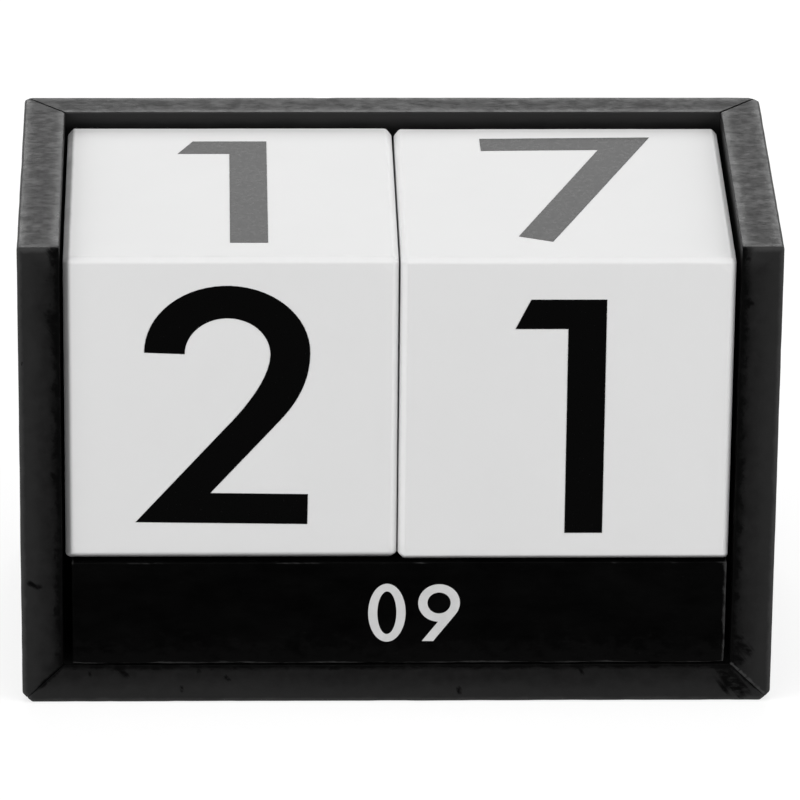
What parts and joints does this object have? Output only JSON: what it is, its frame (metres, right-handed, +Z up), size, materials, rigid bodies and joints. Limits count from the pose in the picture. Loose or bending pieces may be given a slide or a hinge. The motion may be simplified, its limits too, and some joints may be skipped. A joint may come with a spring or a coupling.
{
  "type": "perpetual desk calendar",
  "caption": "Perpetual desk calendar: an open black wooden frame holds white date cubes above square black month bars. The cubes lift out and the bars slide out, to be turned.",
  "frame": {"origin": "under the middle of the frame, on the surface it stands on", "axes": "+X to the right along the frame's width, +Y from the open front to the back board, +Z up"},
  "size_m": [0.1142, 0.0582, 0.0757],
  "materials": {
    "frame_paint": "black paint on wood, satin, with the grain showing faintly and light wear on the arrises",
    "cube_paint": "off-white paint on wood, satin, with a flat bevel along every edge",
    "bar_paint": "black paint on wood, satin, worn thin along the edges",
    "date_numbers": "black printed numbers, satin",
    "month_numbers": "light grey printed numbers, matt"
  },
  "bodies": {
    "frame": {"base_board": "frame_paint", "left_side_board": "frame_paint", "right_side_board": "frame_paint", "back_board": "frame_paint"},
    "left_cube": {"left_date_cube": "cube_paint"},
    "right_cube": {"right_date_cube": "cube_paint"},
    "rear_bar": {"rear_month_bar": "bar_paint"},
    "middle_bar": {"middle_month_bar": "bar_paint"},
    "front_bar": {"front_month_bar": "bar_paint"}
  },
  "joints": [
    {"name": "left_cube_lift", "type": "slide", "parent": "frame", "child": "left_cube", "axis": [0, 0, 1], "range_m": [0, 0.06]},
    {"name": "right_cube_lift", "type": "slide", "parent": "frame", "child": "right_cube", "axis": [0, 0, 1], "range_m": [0, 0.06]},
    {"name": "rear_bar_slide", "type": "slide", "parent": "frame", "child": "rear_bar", "axis": [0, -1, 0], "range_m": [0, 0.06]},
    {"name": "middle_bar_slide", "type": "slide", "parent": "rear_bar", "child": "middle_bar", "axis": [0, -1, 0], "range_m": [0, 0.042]},
    {"name": "front_bar_slide", "type": "slide", "parent": "middle_bar", "child": "front_bar", "axis": [0, -1, 0], "range_m": [0, 0.025]}
  ]
}
